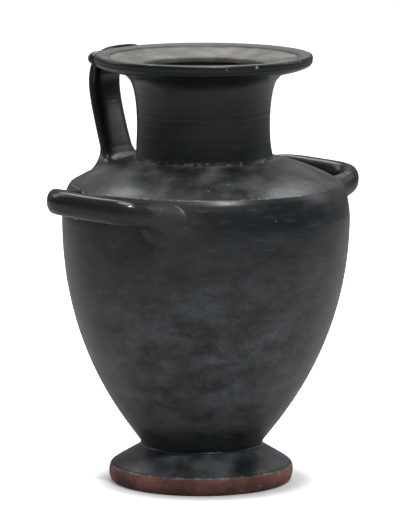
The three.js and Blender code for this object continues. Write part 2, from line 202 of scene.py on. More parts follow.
# %% Outlines
WHEEL_MARK = 0.035  # how deep the potter's fingers marked the wall


def bend(start, pull_start, pull_end, end, steps):
    """Points of a curve from start to end, without the first one."""
    points = []
    for step in range(1, steps + 1):
        t = step / steps
        weights = ((1 - t) ** 3, 3 * t * (1 - t) ** 2, 3 * t * t * (1 - t), t ** 3)
        corners = (start, pull_start, pull_end, end)
        points.append(tuple(sum(w * c[i] for w, c in zip(weights, corners)) for i in (0, 1)))
    return points


def worn_edge(before, corner, after, size, steps=4):
    """Points of a small round in place of a corner."""
    to_before = (Vector(before) - Vector(corner)).normalized() * size
    to_after = (Vector(after) - Vector(corner)).normalized() * size
    corner = Vector(corner)
    start, end = corner + to_before, corner + to_after
    return [tuple(start)] + bend(start, start.lerp(corner, 0.6), end.lerp(corner, 0.6), end, steps)


def wheel_marked(outline):
    """The outline with the fine ridges that the wheel leaves."""
    marked = []
    for radius, z in outline:
        ridge = math.sin(z * 1.35 + 0.9 * math.sin(z * 0.31)) + 0.6 * math.sin(z * 2.3 + 1.3)
        marked.append((radius - WHEEL_MARK * (1.6 - ridge), z))
    return marked


def ring_at(point):
    """The place of a level ring of the jar."""
    centre = leaned(Vector((0, 0, point[1])))
    return place(centre, Vector((point[0] * MM, 0, 0)), Vector((0, point[0] * MM, 0)))


def throw(name, outline, joined=True):
    return raise_wall(name, [ring_at(point) for point in outline], ROUND_STEPS, joined=joined)


# %% [markdown]
# The body is one thrown wall: an egg-shaped belly, a turn in to a crisp shoulder edge, and a gently
# swelling shoulder. The wheel marks are real ridges in the outline, because a gloss shows them.

# %% Body
base = (STEM_RADIUS, FOOT_HEIGHT)
widest = (BELLY_RADIUS, BELLY_Z)
shoulder_edge = (SHOULDER_RADIUS, SHOULDER_Z)
neck_foot = (NECK_FOOT_RADIUS, NECK_FOOT_Z)
belly = bend(base, (STEM_RADIUS, 34), (BELLY_RADIUS, 89), widest, 150)
turn = bend(widest, (BELLY_RADIUS, 203.1), (BELLY_RADIUS - 1.9, 219.3), shoulder_edge, 20)
shoulder_pulls = [
    (
        SHOULDER_RADIUS + (NECK_FOOT_RADIUS - SHOULDER_RADIUS) * share,
        SHOULDER_Z + (NECK_FOOT_Z - SHOULDER_Z) * share + SHOULDER_SWELL,
    )
    for share in (0.33, 0.67)
]
shoulder = bend(shoulder_edge, *shoulder_pulls, neck_foot, 40)
ridge = worn_edge(turn[-2], shoulder_edge, shoulder[0], 0.7)
outside = wheel_marked([base] + belly + turn[:-1]) + ridge + wheel_marked(shoulder[1:-1]) + [neck_foot]
inside = [
    (NECK_SOCKET, NECK_FOOT_Z),
    (NECK_SOCKET, NECK_FOOT_Z - BODY_WALL),
    (SHOULDER_RADIUS - BODY_WALL, SHOULDER_Z - BODY_WALL),
    (BELLY_RADIUS - BODY_WALL, BELLY_Z),
]
inside += bend(inside[-1], (BELLY_RADIUS - BODY_WALL, 92), (STEM_RADIUS, 48),
               (STEM_RADIUS - BODY_WALL, FOOT_HEIGHT + BODY_FLOOR), 24)
body = throw("thrown_body", outside + inside, joined=False)


def wall_radius(z):
    """The radius of the body's outside at a height."""
    for (low_radius, low_z), (high_radius, high_z) in zip(outside, outside[1:]):
        if low_z <= z <= high_z and high_z > low_z:
            return low_radius + (high_radius - low_radius) * (z - low_z) / (high_z - low_z)
    return NECK_FOOT_RADIUS


def wall_height(radius):
    """The height of the shoulder at a radius."""
    for (far_radius, low_z), (near_radius, high_z) in zip(outside[-40:], outside[-39:]):
        if near_radius <= radius <= far_radius:
            return low_z + (high_z - low_z) * (far_radius - radius) / (far_radius - near_radius)
    return SHOULDER_Z

# %% [markdown]
# The neck is a tube that draws in a little and flares under the lip. It reaches inside both
# neighbours, as the real one was luted in, so no light shows at its joints.

# %% Neck
NECK_REACH = 5
neck_head = (NECK_HEAD_RADIUS, NECK_HEAD_Z)
neck_outside = [neck_foot] + bend(neck_foot, (47.6, 264.5), (49.3, 297.2), neck_head, 60)
neck_outline = (
    [(NECK_SOCKET - 0.3, NECK_FOOT_Z - NECK_REACH), (NECK_SOCKET - 0.3, NECK_FOOT_Z - 0.2)]
    + [(NECK_FOOT_RADIUS + 0.2, NECK_FOOT_Z - 0.1)]
    + wheel_marked(neck_outside[1:])
    + [(NECK_SOCKET - 0.3, NECK_HEAD_Z + 0.2), (NECK_SOCKET - 0.3, NECK_HEAD_Z + NECK_REACH)]
    + [(NECK_BORE, NECK_HEAD_Z + NECK_REACH)]
    + bend((NECK_BORE, NECK_HEAD_Z + NECK_REACH), (43.3, 285),
           (43.3, 258), (NECK_BORE, NECK_FOOT_Z - NECK_REACH), 12)
)
neck_outline.append(neck_outline[0])
neck = throw("thrown_neck", neck_outline)

# %% [markdown]
# The mouth is a wide lip that overhangs the neck. Its top is a flat ring, then a small step, a shallow
# funnel and the throat. The lip's face has a faint ridge near its foot, left by the turning tool.

# %% Mouth
FACE_RIDGE = 0.35
mouth_seat = (NECK_HEAD_RADIUS, NECK_HEAD_Z)
face_foot = (LIP_RADIUS - 1.6, TOP_Z - LIP_FACE_HEIGHT)
face_top = (LIP_RADIUS - 1.1, TOP_Z - 0.4)
under = bend(mouth_seat, (59.7, 307.6), (71.4, 306.4), face_foot, 24)
face = bend(face_foot, (LIP_RADIUS, TOP_Z - 4.6), (LIP_RADIUS + 0.3, TOP_Z - 1.5), face_top, 10)
face[1] = (face[1][0] + FACE_RIDGE, face[1][1])
ring_inner = (LIP_RADIUS - 11, TOP_Z - 1.2)
step_foot = (ring_inner[0] - 1, ring_inner[1] - 1.2)
throat = (THROAT_RADIUS, TOP_Z - 7)
lip_top = [(LIP_RADIUS - 2.2, TOP_Z)]
lip_top += bend(lip_top[0], (LIP_RADIUS - 5, TOP_Z - 0.1),
                (ring_inner[0] + 3, ring_inner[1] + 0.5), ring_inner, 6)
funnel = bend(step_foot, (64, TOP_Z - 2.9), (54, TOP_Z - 4.6), throat, 12)
throat_round = bend(throat, (45.6, TOP_Z - 7.2), (NECK_BORE, TOP_Z - 8.2), (NECK_BORE, TOP_Z - 11), 5)
mouth_outline = (
    [mouth_seat] + wheel_marked(under[:-1]) + worn_edge(under[-2], face_foot, face[0], 0.5, 3) + face
    + lip_top + [step_foot] + funnel + throat_round
    + [(NECK_SOCKET, NECK_HEAD_Z + NECK_REACH), (NECK_SOCKET, NECK_HEAD_Z), mouth_seat]
)
mouth = throw("thrown_mouth", mouth_outline)

# %% [markdown]
# The foot is a ring with a bulging edge band, a concave slope and a hollow underneath. The potter cut a
# shallow line above the band, and smeared a thin bead of clay into the corner under the body.

# %% Foot and bead
BAND_LINE = 0.5
tread = (FOOT_RADIUS - FOOT_EDGE_ROUND, 0)
band_top = (FOOT_RADIUS - FOOT_EDGE_ROUND / 3, FOOT_BAND_HEIGHT)
stem = (STEM_RADIUS, FOOT_HEIGHT)
band = bend(tread, (FOOT_RADIUS, 0), (FOOT_RADIUS + 0.8, FOOT_BAND_HEIGHT * 0.8), band_top, 16)
slope = bend(band_top, (band_top[0] - 3, band_top[1] + 3.2), (stem[0] + 6, stem[1] - 4.4), stem, 30)
slope[1] = (slope[1][0] - BAND_LINE / 2, slope[1][1] - BAND_LINE)
hollow_top = (FOOT_SEAT_RADIUS, FOOT_HEIGHT - FOOT_WALL)
tread_inner = (tread[0] - FOOT_TREAD, 0)
foot_outline = (
    [tread] + band[:-1] + worn_edge(band[-2], band_top, slope[0], 0.8, 3) + wheel_marked(slope[1:-1])
    + [stem, (FOOT_SEAT_RADIUS, FOOT_HEIGHT), hollow_top]
    + bend(hollow_top, (36.6, hollow_top[1]), (tread_inner[0] - 4.5, FOOT_WALL), tread_inner, 14)
    + [tread]
)
foot = throw("thrown_foot", foot_outline)

bead_outline = [
    (STEM_RADIUS + JOIN_BEAD * math.cos(turn_by), FOOT_HEIGHT + JOIN_BEAD * math.sin(turn_by))
    for turn_by in (math.tau * i / 12 for i in range(13))
]
bead = throw("join_bead", bead_outline)

# %% [markdown]
# A handle is a rolled bar of clay, bent and pressed on. Its path is drawn first, then walked in even
# steps, and a ring is carried along it. Clay was smeared out round each root, so the root collar is a
# second wall that starts wide on the jar and thins away along the bar.

# %% Paths
BAR_STEPS = 40


def even_points(points, count):
    """The same path as a row of evenly spaced points."""
    lengths = [0]
    for before, after in zip(points, points[1:]):
        lengths.append(lengths[-1] + (after - before).length)
    result = []
    index = 0
    for i in range(count + 1):
        goal = lengths[-1] * i / count
        while index < len(points) - 2 and lengths[index + 1] < goal:
            index += 1
        share = (goal - lengths[index]) / (lengths[index + 1] - lengths[index])
        result.append(points[index].lerp(points[index + 1], min(share, 1)))
    return result, lengths[-1]


def direction_at(points, i):
    """The way that a path runs at one of its points."""
    return (points[min(i + 1, len(points) - 1)] - points[max(i - 1, 0)]).normalized()


def flare_at(outward, size):
    """How far smeared clay stands past the bar: widest on the jar (0), nothing at its end (1)."""
    share = min(max(outward, 0), 1)
    return size * (1 - math.sqrt(1 - (1 - share) ** 2))


# %% [markdown]
# The side handles are flat bows with an oval section. Their roots lean with the wall that they are
# pressed on, and the front root's clay was dragged down the belly by a thumb.

# %% Side handles
HANDLE_REACH = 25.3
HANDLE_SPREAD = 42
HANDLE_CROWN_Z = SHOULDER_Z - 4.6
HANDLE_RISE = 7.5
HANDLE_TILT = math.radians(2)
HANDLE_BOW = 3.8
HANDLE_SECTION = 2.2
HANDLE_HALF_WIDTH = 6.5
HANDLE_HALF_HEIGHT = 9.3
BEDDING = 3.2
COLLAR_STEPS = 24
SMEAR_SINK = 0.25
ROOT_SIZES = {
    "front": {"side": 12, "top": 1.6, "low": 12, "length": 18},
    "rear": {"side": 5, "top": 0.8, "low": 3, "length": 12},
}


def handle_path(side):
    """The middle of a side handle, from its front root to its rear one."""
    start = math.sqrt(BELLY_RADIUS ** 2 - HANDLE_SPREAD ** 2) - BEDDING
    reach = BELLY_RADIUS + HANDLE_REACH
    points = []
    for degrees in range(-90, 91, 2):
        angle = math.radians(degrees)
        outward = power(max(math.cos(angle), 0), 2 / HANDLE_BOW)
        y = HANDLE_SPREAD * power(math.sin(angle), 2 / HANDLE_BOW)
        z = HANDLE_CROWN_Z - HANDLE_RISE * (1 - outward) ** 1.2 + y * math.tan(HANDLE_TILT)
        points.append(Vector((side * (start + (reach - start) * outward), y, z)))
    return points


def handle_bar(name, side):
    points = even_points(handle_path(side), BAR_STEPS * 2)[0]
    places = []
    for i, point in enumerate(points):
        wide = Vector((0, 0, 1)).cross(direction_at(points, i)).normalized()
        hand = 1 + 0.007 * math.sin(i * 0.37 + side)
        places.append(place(leaned(point), wide * HANDLE_HALF_WIDTH * hand * MM,
                            Vector((0, 0, HANDLE_HALF_HEIGHT * MM))))
    return raise_wall(name, places, 40, squareness=HANDLE_SECTION)


def handle_root(name, side, end):
    points, length = even_points(handle_path(side), BAR_STEPS * 4)
    if end == "rear":
        points.reverse()
    size = ROOT_SIZES[end]
    places = []
    root_x = abs(points[0].x) + BEDDING
    for i in range(COLLAR_STEPS + 1):
        outward = (i / COLLAR_STEPS) ** 1.6
        distance = BEDDING + size["length"] * outward
        point = points[round(distance / length * BAR_STEPS * 4)].copy()
        point.x = side * (root_x + size["length"] * outward)
        top = flare_at(outward, size["top"])
        low = flare_at(outward, size["low"])
        half_width = HANDLE_HALF_WIDTH + flare_at(outward, size["side"]) - 0.1
        half_height = HANDLE_HALF_HEIGHT + (top + low) / 2 - 0.1
        centre = point + Vector((0, 0, (top - low) / 2))
        places.append(place(leaned(centre), Vector((0, half_width * MM, 0)),
                            Vector((0, 0, half_height * MM))))

    def press(point):
        """Lets the collar's wide end follow the belly that it is smeared on."""
        dx, dy = lean_at(point.z / MM)
        x, y, z = point.x / MM - dx, point.y / MM - dy, point.z / MM
        outward = (abs(x) - root_x) / size["length"]
        keep = min(max(1 - outward, 0), 1) ** 1.5
        wall_x = math.sqrt(wall_radius(z) ** 2 - y * y) - SMEAR_SINK + size["length"] * outward
        return Vector(((side * (abs(x) + (wall_x - abs(x)) * keep) + dx) * MM, point.y, point.z))

    return raise_wall(name, places, 64, squareness=HANDLE_SECTION, press=press)


handle_pieces = []
for hand_name, side in (("left", -1), ("right", 1)):
    bar = handle_bar(f"{hand_name}_bow", side)
    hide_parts(f"{hand_name}_handle")
    handle_pieces.append(bar)
    for end in ("front", "rear"):
        root = handle_root(f"{hand_name}_{end}_smear", side, end)
        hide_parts(f"{hand_name}_handle_{end}_root")
        handle_pieces.append(root)

# %% [markdown]
# The back handle is a strap from the shoulder to the lip. Its section is a flat bar with round edges,
# and it is widest at its root. Two round knobs close its head beside the lip.

# %% Back handle
STRAP_ROOT_RADIUS = 86
STRAP_KNEE = (LIP_RADIUS + 17.8, TOP_Z - 27)
STRAP_HEAD = (LIP_RADIUS - 3, TOP_Z - 3.4)
STRAP_HALF_THICKNESS = 4.85
STRAP_HALF_WIDTH = 14.8
STRAP_SECTION = 3.2
KNOB_RADIUS = 5.1
KNOB_LENGTH = 14.5
KNOB_OUT = 4.6
KNOB_DROP = 7.3

stand_share = (SHOULDER_RADIUS - STRAP_ROOT_RADIUS) / (SHOULDER_RADIUS - NECK_FOOT_RADIUS)
stand_z = SHOULDER_Z + (NECK_FOOT_Z - SHOULDER_Z) * stand_share
strap_start = (STRAP_ROOT_RADIUS, stand_z - BEDDING)
climb = STRAP_KNEE[1] - strap_start[1]
bow = STRAP_HEAD[1] - STRAP_KNEE[1]
strap_outline = [strap_start]
strap_outline += bend(strap_start, (strap_start[0], strap_start[1] + climb * 0.35),
                      (STRAP_KNEE[0], STRAP_KNEE[1] - climb * 0.3), STRAP_KNEE, 40)
strap_outline += bend(STRAP_KNEE, (STRAP_KNEE[0], STRAP_KNEE[1] + bow * 0.45),
                      (STRAP_KNEE[0] - 17.8 * 0.3, STRAP_HEAD[1]), STRAP_HEAD, 30)
strap_path = [Vector((0, y, z)) for y, z in strap_outline]


def strap_half_width(share):
    return STRAP_HALF_WIDTH + 2 * (1 - share) ** 6 + 1.5 * share ** 4


def strap_places(points, shares, flares):
    places = []
    for i, (share, flare) in enumerate(zip(shares, flares)):
        along = direction_at(points, i)
        wide = Vector((1, 0, 0)).cross(along).normalized()
        places.append(place(leaned(points[i]), wide * (STRAP_HALF_THICKNESS + flare) * MM,
                            Vector((1, 0, 0)) * (strap_half_width(share) + flare) * MM))
    return places


strap_points = even_points(strap_path, BAR_STEPS * 2)[0]
shares = [i / (BAR_STEPS * 2) for i in range(BAR_STEPS * 2 + 1)]
strap = raise_wall("strap", strap_places(strap_points, shares, [0] * len(shares)), 64, STRAP_SECTION)
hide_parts("back_handle")

STRAP_FLARE = 13
STRAP_FLARE_LENGTH = 17
fine_points, length = even_points(strap_path, BAR_STEPS * 5)
outwards = [(i / COLLAR_STEPS) ** 1.6 for i in range(COLLAR_STEPS + 1)]
spots = [round((BEDDING + STRAP_FLARE_LENGTH * o) / length * BAR_STEPS * 5) for o in outwards]
places = []
for outward, spot in zip(outwards, spots):
    flare = flare_at(outward, STRAP_FLARE) - 0.1
    centre = fine_points[spot].copy()
    centre.z = stand_z + STRAP_FLARE_LENGTH * outward
    half_width = strap_half_width(spot / (BAR_STEPS * 5)) + flare
    places.append(place(leaned(centre), Vector((0, (STRAP_HALF_THICKNESS + flare) * MM, 0)),
                        Vector((half_width * MM, 0, 0))))


def press_on_shoulder(point):
    """Lets the strap's smeared foot follow the shoulder."""
    dx, dy = lean_at(point.z / MM)
    outward = (point.z / MM - stand_z) / STRAP_FLARE_LENGTH
    keep = min(max(1 - outward, 0), 1) ** 1.5
    radius = math.hypot(point.x / MM - dx, point.y / MM - dy)
    wall_z = wall_height(radius) - SMEAR_SINK + STRAP_FLARE_LENGTH * outward
    return Vector((point.x, point.y, (point.z / MM * (1 - keep) + wall_z * keep) * MM))


strap_root = raise_wall("strap_smear", places, 64, STRAP_SECTION, press=press_on_shoulder)
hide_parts("back_handle_root")
handle_pieces += [strap, strap_root]

for hand_name, side in (("left", -1), ("right", 1)):
    places = []
    edge = strap_half_width(1) - 2
    for i in range(17):
        share = i / 16
        radius = KNOB_RADIUS * max(1 - max(share - 0.55, 0) ** 2 / 0.2025, 0.0004) ** 0.5
        centre = Vector((side * (edge + (KNOB_LENGTH + 2) * share), LIP_RADIUS + KNOB_OUT, TOP_Z - KNOB_DROP))
        places.append(place(leaned(centre), Vector((0, radius * MM, 0)), Vector((0, 0, radius * MM))))
    knob = raise_wall(f"{hand_name}_knob", places, 32)
    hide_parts(f"back_handle_{hand_name}_knob")
    handle_pieces.append(knob)

# %% [markdown]
# A finish is a tree of nodes. Its sums are easier to read as sums, so a small class wraps a socket and
# lets plus, minus and times add the Math nodes. One method adds every other node.

# %% Finishes as sums


class Wire:
    """A value on its way through a tree of nodes, which takes part in sums."""

    def __init__(self, sums, socket):
        self.sums = sums
        self.socket = socket

    def __add__(self, other):
        return self.sums.math("ADD", self, other)

    def __sub__(self, other):
        return self.sums.math("SUBTRACT", self, other)

    def __rsub__(self, other):
        return self.sums.math("SUBTRACT", other, self)

    def __mul__(self, other):
        return self.sums.math("MULTIPLY", self, other)

    __radd__ = __add__
    __rmul__ = __mul__


class Sums:
    """The tree of a material or of the world, while it is put together."""

    def __init__(self, owner):
        owner.use_nodes = True
        self.tree = owner.node_tree
        self.tree.nodes.clear()

    def node(self, kind, settings=None, values=None, output=0):
        made = self.tree.nodes.new(kind)
        for key, value in (settings or {}).items():
            setattr(made, key, value)
        for key, value in (values or {}).items():
            if isinstance(value, Wire):
                self.tree.links.new(value.socket, made.inputs[key])
            else:
                made.inputs[key].default_value = value
        return Wire(self, made.outputs[output])

    def math(self, operation, first, second=0.0, clamp=False):
        settings = {"operation": operation, "use_clamp": clamp}
        return self.node("ShaderNodeMath", settings, {0: first, 1: second})

    def mix(self, share, first, second):
        """Goes from the first colour to the second."""
        return self.node("ShaderNodeMix", {"data_type": "RGBA"}, {0: share, 6: first, 7: second}, 2)

    def step(self, value, low, high):
        """Rises smoothly from 0 at low to 1 at high."""
        settings = {"interpolation_type": "SMOOTHSTEP"}
        return self.node("ShaderNodeMapRange", settings, {0: value, 1: low, 2: high})

    def end_in(self, kind, shader):
        self.tree.links.new(shader.socket, self.tree.nodes.new(kind).inputs["Surface"])


class Finish(Sums):
    """A material, with the place of each point on the jar."""

    def __init__(self, name):
        self.material = bpy.data.materials.new(name)
        super().__init__(self.material)
        self.here = self.node("ShaderNodeTexCoord", output="Object")
        parts = self.node("ShaderNodeSeparateXYZ", values={0: self.here}).socket.node
        self.x, self.y, self.z = (Wire(self, output) for output in parts.outputs)

    def noise(self, scale, detail=3.0, stretch=(1, 1, 1), roughness=0.55):
        """Cloudy noise, scale cells to a metre, squeezed by stretch."""
        placed = self.node("ShaderNodeMapping", values={0: self.here, 3: stretch})
        return self.node("ShaderNodeTexNoise", values={
            "Vector": placed, "Scale": scale, "Detail": detail, "Roughness": roughness,
        })

    def near(self, point, size):
        """1 at a point of the jar, 0 past the size."""
        away = self.node("ShaderNodeVectorMath", {"operation": "DISTANCE"}, {0: self.here, 1: point}, 1)
        return 1 - self.step(away, 0.0, size)

    def done(self, shader):
        self.end_in("ShaderNodeOutputMaterial", shader)
        return self.material

    def band(self, z, half, soft):
        """1 within half of a height, gone past soft."""
        off = self.math("ABSOLUTE", self.z - z)
        return 1 - self.step(off, half, soft)


def facing(degrees, radius, z):
    """A point on the jar, by its angle to the right of the camera's side, in metres."""
    angle = CAMERA_AZIMUTH - math.pi / 2 + math.radians(degrees)
    return leaned(Vector((radius * math.cos(angle), radius * math.sin(angle), z)))


print("the camera faces", [round(v, 3) for v in facing(0, BELLY_RADIUS, BELLY_Z)])

# %% [markdown]
# Black gloss is a skin of fine clay that turned black in the fire. It is nearly black with a blue cast,
# brownish where it lies thin, dusty on the belly, marked by the wheel, and pitted where a grain of
# lime burst out. Painted light is laid in with it: a grey painted reflection of the floor low on the belly,
# a pale painted sheen with the shoulder's scuffs, and a brown painted sheen round the handle roots.
# The same tree serves body, neck and handles, with other amounts.

# %% Black gloss
BLUE_BLACK = (0.0085, 0.0135, 0.0155, 1)
BROWN_BLACK = (0.022, 0.020, 0.016, 1)
ROOT_BROWN_AND_SHEEN_TONE = (0.036, 0.032, 0.026, 1)
DUST_AND_REFLECTION = (0.165, 0.186, 0.196, 1)
PALE_CLAY = (0.34, 0.30, 0.25, 1)
WORN_CLAY = (0.20, 0.185, 0.165, 1)
SHOULDER_SCUFF_AND_SHEEN = (0.150, 0.136, 0.122, 1)
SHOULDER_WEAR = (SHOULDER_Z + 0.2, 0.5)
NECK_FOOT_WEAR = (NECK_FOOT_Z + 0.6, 1.8)
HAZE_LOW = 22 * MM
HAZE_FULL = 78 * MM
HAZE_FADE = 110 * MM
HAZE_END = 200 * MM
# Spots round the handle roots, in millimetres, that carry browner slip and a painted sheen of the lit root
# bulges.
ROOT_BROWN_AND_SHEEN_SPOTS = [((-94, -44, 210), 52), ((94, -44, 210), 40), ((0, 86, 235), 48)]


def black_gloss(name, brown_share, dust_and_sheen_share, dullness, wear_lines):
    """The slip's finish: how much of it fired brown, how much dust and painted sheen it carries, and how dull
    it is.
    """
    f = Finish(name)
    clouds = f.noise(14, 4)
    wheel = f.noise(1, 4, (9, 9, 620), 0.6)
    broad_wheel = f.noise(1, 2, (5, 5, 150))
    grain = f.noise(900, 3)
    brush = f.noise(1, 3, (60, 60, 260), 0.7)
    brown_patch = f.step(clouds + brown_share, 0.52, 0.80)
    colour = f.mix(brown_patch, BLUE_BLACK, BROWN_BLACK)
    # Round the handle roots the slip is browner, and this brown also paints in the sheen of the lit smeared
    # bulges.
    root_brown_and_sheen = sum(f.near(Vector(spot) * MM, reach * MM) for spot, reach in ROOT_BROWN_AND_SHEEN_SPOTS)
    root_brown_and_sheen = f.math("MULTIPLY", root_brown_and_sheen, 0.35 + 0.65 * f.step(clouds, 0.35, 0.62), True)
    colour = f.mix(root_brown_and_sheen, colour, ROOT_BROWN_AND_SHEEN_TONE)
    # The shoulder's top gets pale scuffs, laid on thick enough that they also paint in the sheen the shoulder
    # catches.
    on_shoulder = f.step(f.z, SHOULDER_Z * MM, (SHOULDER_Z + 2.5) * MM)
    on_shoulder = on_shoulder * (1 - f.step(f.z, (NECK_FOOT_Z - 1) * MM, (NECK_FOOT_Z + 5) * MM))
    scuffs_and_sheen = f.step(f.noise(38, 7, (1, 1, 1), 0.66), 0.40, 0.72)
    colour = f.mix(on_shoulder * scuffs_and_sheen * 0.75 * dust_and_sheen_share, colour, SHOULDER_SCUFF_AND_SHEEN)
    # Low on the belly the dust is laid on thicker, which also paints in the grey reflection of the pale floor
    # there.
    floor_reflection_height = f.step(f.z, HAZE_LOW, HAZE_FULL) * (1 - f.step(f.z, HAZE_FADE, HAZE_END))
    haze = f.step(f.noise(34, 9, (1, 1, 1.5), 0.76) + 0.10 * broad_wheel, 0.36, 0.86)
    dust_and_reflection = haze * (0.22 + 0.78 * floor_reflection_height) * dust_and_sheen_share
    dust_and_reflection = dust_and_reflection + f.step(brush, 0.52, 0.80) * 0.24 * dust_and_sheen_share
    colour = f.mix(f.math("MULTIPLY", dust_and_reflection, 0.9, True), colour, DUST_AND_REFLECTION)
    specks = f.node("ShaderNodeTexVoronoi", values={"Vector": f.here, "Scale": 95.0})
    sparse = f.step(f.noise(31, 2), 0.54, 0.60)
    pits = (1 - f.step(specks, 0.035, 0.065)) * sparse
    fine_specks = f.node("ShaderNodeTexVoronoi", values={"Vector": f.here, "Scale": 260.0})
    dots = (1 - f.step(fine_specks, 0.05, 0.12)) * f.step(f.noise(17, 3), 0.58, 0.66)
    colour = f.mix(f.math("ADD", pits, dots * 0.5, True), colour, PALE_CLAY)
    chipped = f.step(f.noise(210, 3), 0.50, 0.62)
    for z, half in wear_lines:
        line = f.band(z * MM, half * MM * 0.4, half * MM) * chipped
        colour = f.mix(line * 0.75, colour, WORN_CLAY)
    roughness = dullness + 0.10 * wheel + 0.28 * dust_and_reflection + 0.25 * pits + 0.16 * root_brown_and_sheen
    height = wheel * 0.35 + broad_wheel * 0.5 + grain * 0.10 + brush * 0.3 - pits * 1.6
    bump = f.node("ShaderNodeBump", values={"Strength": 0.5, "Distance": 0.0003, "Height": height})
    shader = f.node("ShaderNodeBsdfPrincipled", values={
        "Base Color": colour, "Roughness": roughness, "Normal": bump, "IOR": 1.52,
    })
    return f.done(shader)


gloss = black_gloss("black_gloss_slip", 0.0, 1.0, 0.24, [SHOULDER_WEAR, NECK_FOOT_WEAR])
neck_gloss = black_gloss("neck_slip", 0.02, 0.40, 0.26, [NECK_FOOT_WEAR])
handle_gloss = black_gloss("handle_slip", 0.20, 0.30, 0.14, [])

# %% [markdown]
# The mouth has the same slip, but inside the lip's ring it is brown and streaky, where water, dust and
# hands have worn it. A few chips on the lip's front show the pale clay.

# %% Mouth finish
INSIDE_BROWN = (0.100, 0.096, 0.083, 1)
INSIDE_PALE = (0.30, 0.28, 0.24, 1)
CHIPS = [
    (28.5, LIP_RADIUS, TOP_Z - 2, 2.2),
    (61, LIP_RADIUS, TOP_Z - 1, 1.6),
    (12, LIP_RADIUS, TOP_Z - 3, 1.0),
]


def mouth_finish():
    f = Finish("mouth_slip")
    wheel = f.noise(1, 4, (9, 9, 620), 0.6)
    clouds = f.noise(26, 5)
    lean_x, lean_y = lean_at(TOP_Z)
    flat = f.node("ShaderNodeCombineXYZ", values={0: f.x - lean_x * MM, 1: f.y - lean_y * MM})
    radius = f.node("ShaderNodeVectorMath", {"operation": "LENGTH"}, {0: flat}, 1)
    rings = f.node("ShaderNodeTexNoise", {"noise_dimensions": "1D"}, {
        "W": radius, "Scale": 420.0, "Detail": 3.0,
    })
    colour = f.mix(f.step(clouds, 0.45, 0.75), BLUE_BLACK, BROWN_BLACK)
    above = f.step(f.z, (TOP_Z - 1.7) * MM, (TOP_Z - 0.5) * MM)
    on_top = above * (1 - f.step(radius, (LIP_RADIUS - 2.5) * MM, (LIP_RADIUS - 1) * MM))
    colour = f.mix(on_top * (0.35 + 0.5 * rings), colour, INSIDE_BROWN)
    inner_side = f.math("MAXIMUM", f.step(f.z, (TOP_Z - 9.4) * MM, (TOP_Z - 8.8) * MM),
                        1 - f.step(radius, 46 * MM, 48 * MM))
    funnel = inner_side * (1 - f.step(radius, (ring_inner[0] - 0.6) * MM, ring_inner[0] * MM))
    streaks = f.step(f.noise(48, 4) + 0.25 * rings, 0.50, 0.85)
    colour = f.mix(funnel * (0.45 + 0.4 * clouds), colour, INSIDE_BROWN)
    colour = f.mix(funnel * streaks * 0.45, colour, INSIDE_PALE)
    chips = None
    for degrees, chip_radius, z, size in CHIPS:
        chip = f.near(facing(degrees, chip_radius, z), size * MM)
        chips = chip if chips is None else chips + chip
    rim = f.band((TOP_Z - 0.3) * MM, 0.15 * MM, 0.6 * MM) * f.step(f.noise(160, 4), 0.58, 0.72)
    rim = rim * f.step(radius, (LIP_RADIUS - 2.6) * MM, (LIP_RADIUS - 1.6) * MM)
    worn = f.math("ADD", f.step(chips, 0.35, 0.55), rim * 0.35, True)
    colour = f.mix(worn, colour, PALE_CLAY)
    roughness = 0.30 + 0.10 * wheel + 0.22 * funnel + 0.12 * on_top + 0.3 * worn
    height = wheel * 0.5 + rings * 0.5 + f.noise(900, 3) * 0.12 - worn * 1.2
    bump = f.node("ShaderNodeBump", values={"Strength": 0.5, "Distance": 0.00035, "Height": height})
    return f.done(f.node("ShaderNodeBsdfPrincipled", values={
        "Base Color": colour, "Roughness": roughness, "Normal": bump, "IOR": 1.52,
    }))


mouth_gloss = mouth_finish()

# %% [markdown]
# The foot's edge band was left bare, so it shows the red-brown clay, with paler spots and a crackle.
# Above it lies the slip, worn through along the band's upper edge.

# %% Foot finish
BAND_RED = (0.34, 0.14, 0.12, 1)
BAND_DARK = (0.12, 0.052, 0.045, 1)
OCHRE = (0.42, 0.32, 0.22, 1)


def foot_finish():
    f = Finish("foot_clay_and_slip")
    clouds = f.noise(40, 5)
    fine = f.noise(240, 4)
    wobble = (f.noise(24, 3) - 0.5) * (3.2 * MM)
    edge = f.z + wobble
    slip = f.step(edge, (FOOT_BAND_HEIGHT - 0.9) * MM, (FOOT_BAND_HEIGHT + 0.3) * MM)
    clay = f.mix(f.step(clouds, 0.36, 0.66), BAND_DARK, BAND_RED)
    clay = f.mix(f.step(fine, 0.62, 0.74) * 0.7, clay, OCHRE)
    cracks = f.node("ShaderNodeTexVoronoi", {"feature": "DISTANCE_TO_EDGE"}, {
        "Vector": f.here, "Scale": 150.0,
    })
    cracks = (1 - f.step(cracks, 0.012, 0.05)) * (1 - slip)
    clay = f.mix(cracks * 0.35, clay, BAND_DARK)
    dusty = f.mix(f.step(f.noise(34, 7), 0.36, 0.74) * 0.75, BLUE_BLACK, DUST_AND_REFLECTION)
    colour = f.mix(slip, clay, dusty)
    rub = f.math("ABSOLUTE", edge - (FOOT_BAND_HEIGHT - 0.2) * MM)
    rub = (1 - f.step(rub, 0.1 * MM, 1.1 * MM)) * f.step(f.noise(170, 5), 0.47, 0.62)
    colour = f.mix(rub * 0.5, colour, OCHRE)
    roughness = 0.62 - 0.28 * slip + 0.1 * clouds
    height = clouds * 0.8 + fine * 0.5 - cracks * 0.5 - rub * 0.4
    bump = f.node("ShaderNodeBump", values={"Strength": 0.6, "Distance": 0.0004, "Height": height})
    return f.done(f.node("ShaderNodeBsdfPrincipled", values={
        "Base Color": colour, "Roughness": roughness, "Normal": bump, "IOR": 1.5,
    }))


foot_clay = foot_finish()

# %% [markdown]
# Each piece gets its finish, rides on the jar's one body, and says which solid it stands for.

